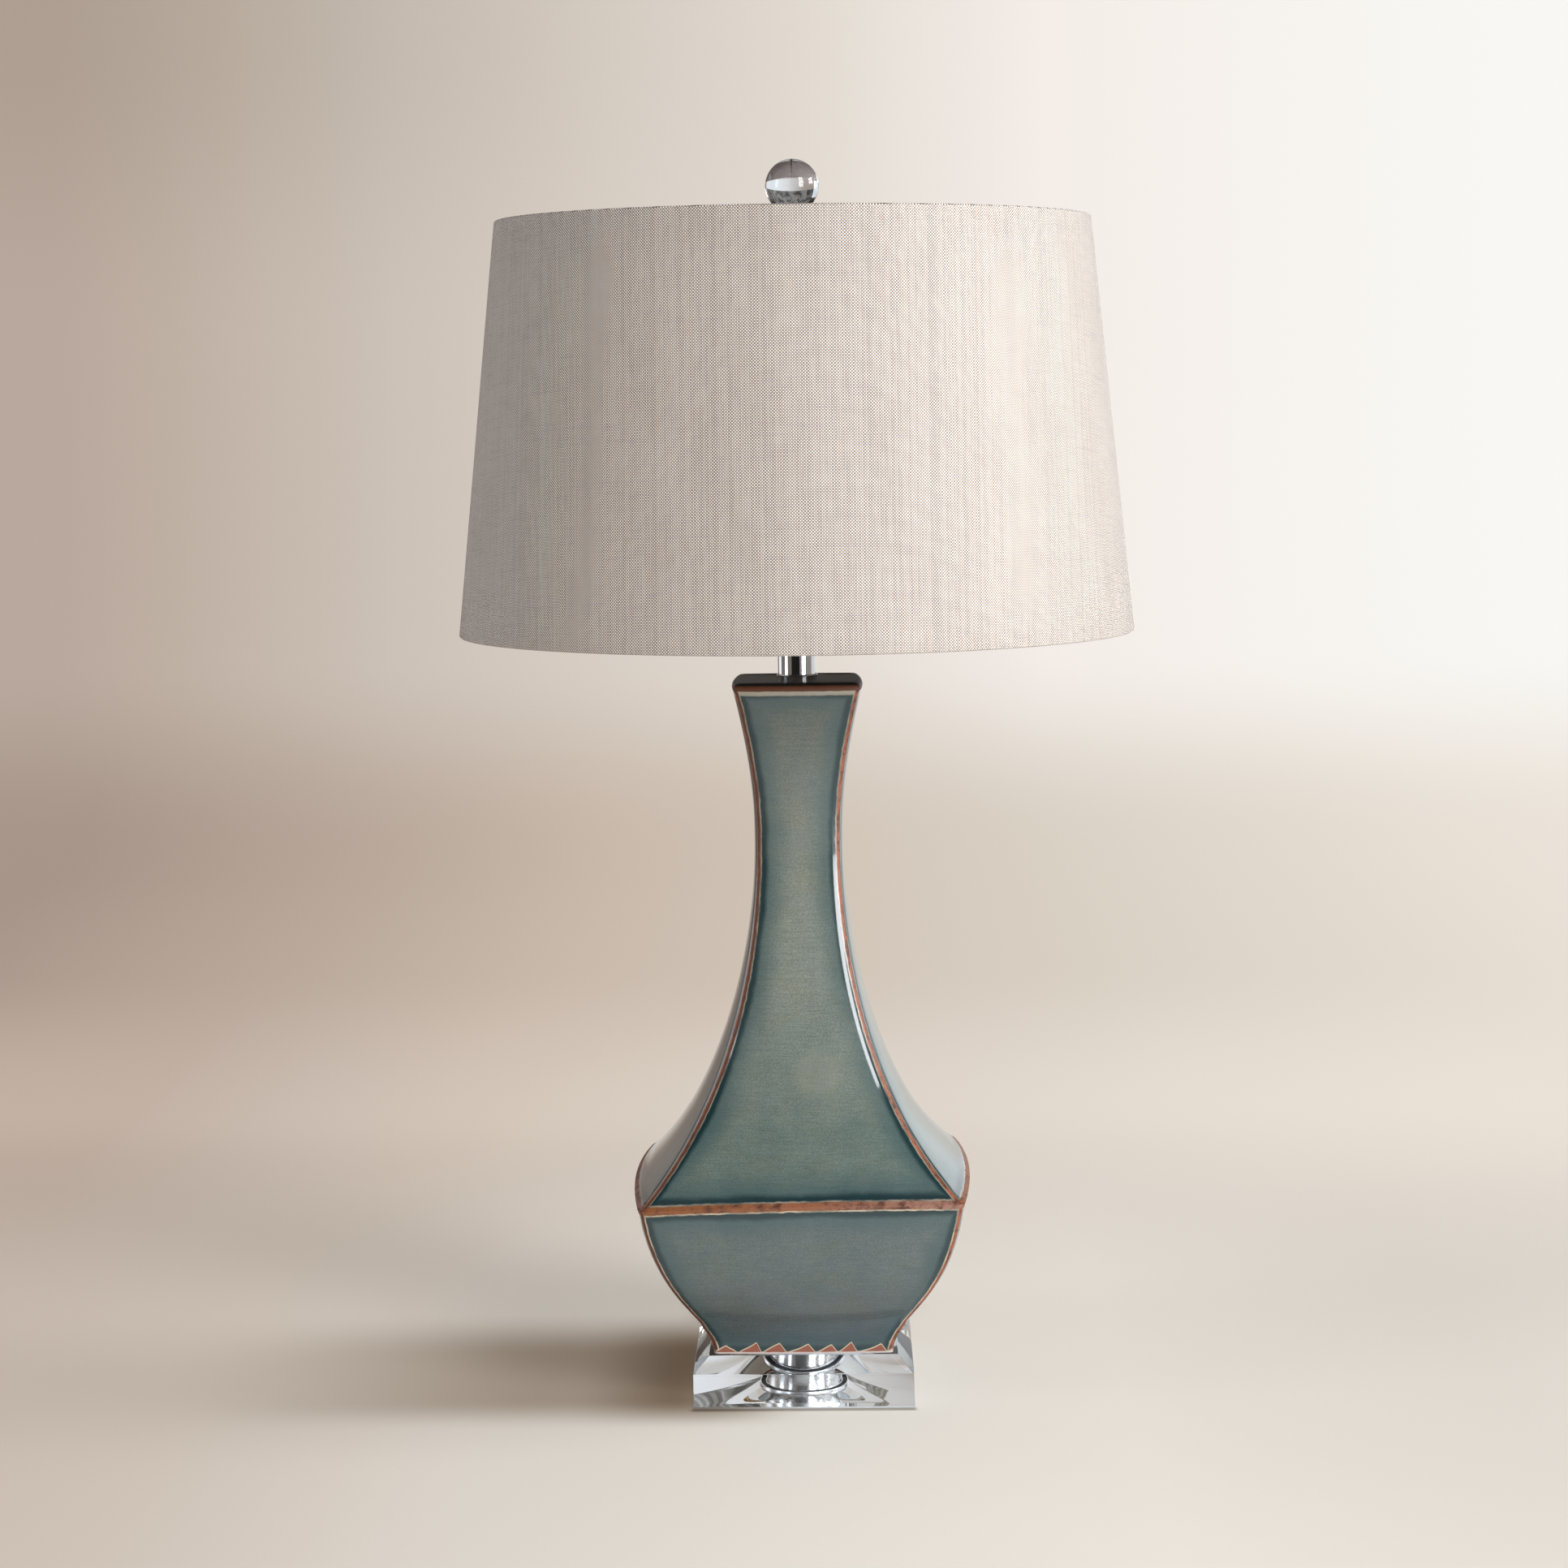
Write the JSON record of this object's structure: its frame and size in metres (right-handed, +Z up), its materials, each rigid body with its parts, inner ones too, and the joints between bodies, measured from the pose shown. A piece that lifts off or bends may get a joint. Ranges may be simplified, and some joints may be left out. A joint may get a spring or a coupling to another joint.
{
  "type": "table lamp",
  "caption": "Square waisted glazed ceramic vase on a clear bevelled block, with a chrome neck, a tapered drum shade and a clear ball finial, for light on a table.",
  "frame": {"origin": "on the table, below the middle of the base block", "axes": "+Z up, -Y towards the front that the picture shows, +X to the right seen from the front"},
  "size_m": [0.4155, 0.4156, 0.7621],
  "materials": {
    "clear_acrylic": "clear and polished",
    "clear_rubber": "clear and soft",
    "polished_chrome": "mirror polished",
    "zinc_steel": "zinc plated",
    "dark_steel": "blackened",
    "brass": "satin",
    "brass_pipe": "rolled thread",
    "glazed_ceramic": "sage and teal glaze with rust brown ridges",
    "clear_vinyl": "clear over gold and silver strands",
    "porcelain": "unglazed",
    "insulating_paper": "dry",
    "black_plastic": "moulded",
    "bulb_metal": "rolled",
    "black_glass": "opaque",
    "frosted_glass": "frosted",
    "painted_wire": "satin white",
    "styrene_liner": "smooth white",
    "shade_fabric": "twill weave with slubs"
  },
  "bodies": {
    "lamp": {"foot_pads": "clear_rubber", "base_block": "clear_acrylic", "base_tube": "polished_chrome", "clamp_plate": "zinc_steel", "lock_washer": "zinc_steel", "clamp_nut": "brass", "vase": "glazed_ceramic", "threaded_pipe": "brass_pipe", "strain_relief": "clear_vinyl", "neck_collar": "polished_chrome", "neck_tube": "polished_chrome", "neck_cap": "polished_chrome", "neck_nut": "brass", "harp_saddle": "brass", "socket_cap": "brass", "socket_set_screw": "dark_steel", "socket_body": "porcelain", "terminal_screws": "brass", "screw_shell": "brass", "centre_contact": "brass", "socket_sleeve": "insulating_paper", "socket_shell": "brass", "harp": "brass", "harp_stud": "brass", "inner_lead": "clear_vinyl", "cord_run": "clear_vinyl", "cord_coil": "clear_vinyl", "cord_tie": "black_plastic", "cord_tail": "clear_vinyl", "plug_body": "clear_vinyl", "plug_blades": "brass"},
    "shade": {"spider": "painted_wire", "shade_bottom_ring": "painted_wire", "shade_liner": "styrene_liner", "shade_fabric": "shade_fabric"},
    "finial": {"finial_base": "polished_chrome", "finial_ball": "clear_acrylic"},
    "bulb": {"bulb_base": "bulb_metal", "bulb_insulator": "black_glass", "bulb_contact": "bulb_metal", "bulb_glass": "frosted_glass"},
    "knob": {"switch_shaft": "brass", "switch_knob": "black_plastic"},
    "left_sleeve": {"ferrule_left": "brass"},
    "right_sleeve": {"ferrule_right": "brass"}
  },
  "joints": [
    {"name": "shade_turn", "type": "hinge", "parent": "lamp", "child": "shade", "pos_m": [0, 0, 0.7161], "axis": [0, 0, 1], "continuous": true},
    {"name": "finial_turn", "type": "hinge", "parent": "lamp", "child": "finial", "pos_m": [0, 0, 0.7198], "axis": [0, 0, 1], "continuous": true},
    {"name": "bulb_turn", "type": "hinge", "parent": "lamp", "child": "bulb", "pos_m": [0, 0, 0.5366], "axis": [0, 0, 1], "continuous": true},
    {"name": "knob_turn", "type": "hinge", "parent": "lamp", "child": "knob", "pos_m": [0, -0.0195, 0.5203], "axis": [0, -1, 0], "continuous": true},
    {"name": "left_sleeve_lift", "type": "slide", "parent": "lamp", "child": "left_sleeve", "axis": [0, 0, 1], "range_m": [0, 0.015]},
    {"name": "right_sleeve_lift", "type": "slide", "parent": "lamp", "child": "right_sleeve", "axis": [0, 0, 1], "range_m": [0, 0.015]}
  ]
}
